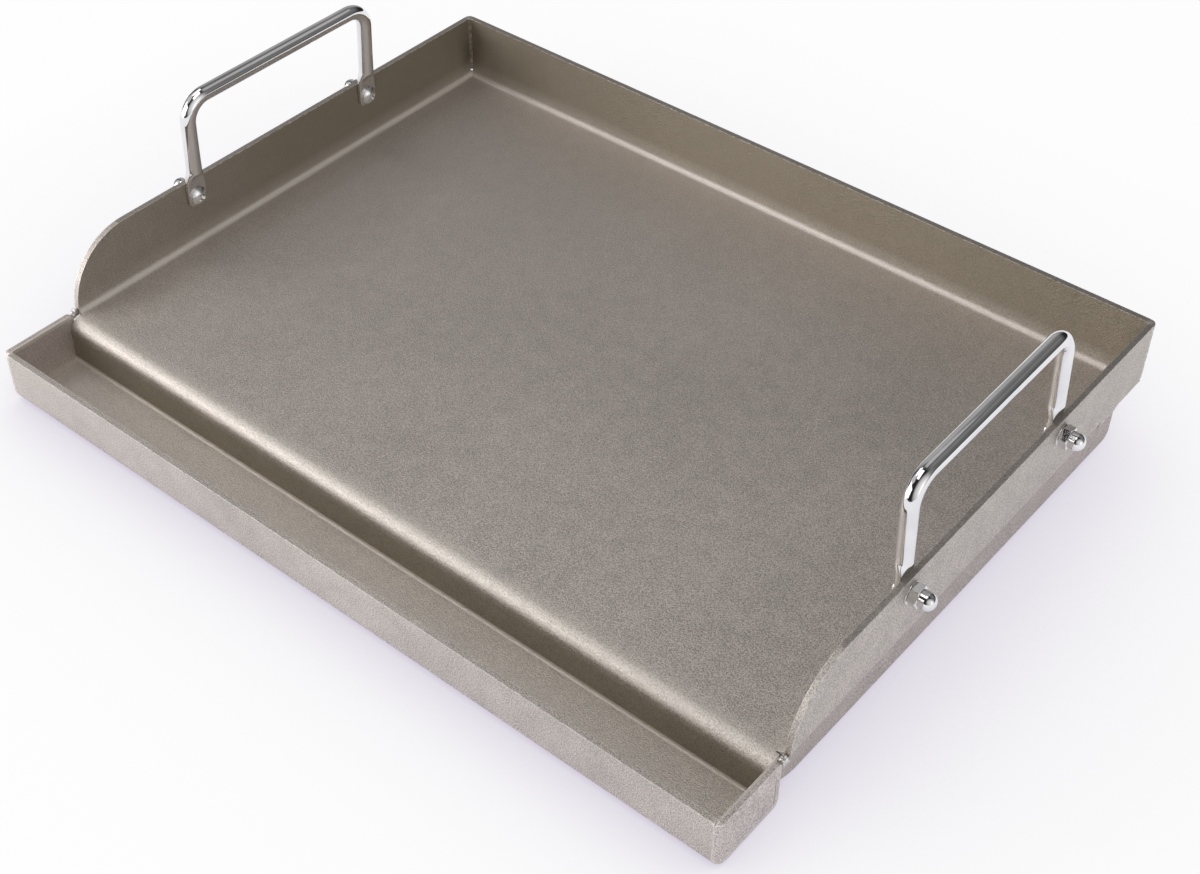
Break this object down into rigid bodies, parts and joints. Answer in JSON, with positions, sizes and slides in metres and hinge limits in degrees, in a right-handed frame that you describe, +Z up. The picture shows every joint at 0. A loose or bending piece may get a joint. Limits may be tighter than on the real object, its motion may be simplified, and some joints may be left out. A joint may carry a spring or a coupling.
{
  "type": "camp griddle plate",
  "caption": "Rectangular bent-steel camp griddle plate with raised walls, an open front that drains into a drip trough, bolted bar handles and support rails underneath.",
  "frame": {"origin": "middle of the part's bounding box in plan, at the level of the trough's underside, which is its lowest point", "axes": "+X right across the width, +Y back toward the back wall, +Z up; the drip trough is at the front, -Y"},
  "size_m": [0.4556, 0.3356, 0.115],
  "materials": {
    "blasted_steel": "bead blasted, fine grained satin",
    "weld_steel": "ground weld",
    "bright_rod": "polished",
    "bright_fastener": "polished"
  },
  "bodies": {
    "root": {"griddle_sheet": "blasted_steel", "left_trough_cap": "blasted_steel", "right_trough_cap": "blasted_steel", "left_rail": "blasted_steel", "right_rail": "blasted_steel", "left_handle": "bright_rod", "right_handle": "bright_rod", "left_front_screw": "bright_fastener", "left_back_screw": "bright_fastener", "right_front_screw": "bright_fastener", "right_back_screw": "bright_fastener", "left_front_washer": "bright_fastener", "left_back_washer": "bright_fastener", "right_front_washer": "bright_fastener", "right_back_washer": "bright_fastener", "left_front_nut": "bright_fastener", "left_back_nut": "bright_fastener", "right_front_nut": "bright_fastener", "right_back_nut": "bright_fastener", "left_corner_weld": "weld_steel", "right_corner_weld": "weld_steel", "left_front_weld": "weld_steel", "right_front_weld": "weld_steel", "left_rail_welds": "weld_steel", "right_rail_welds": "weld_steel"}
  },
  "joints": []
}
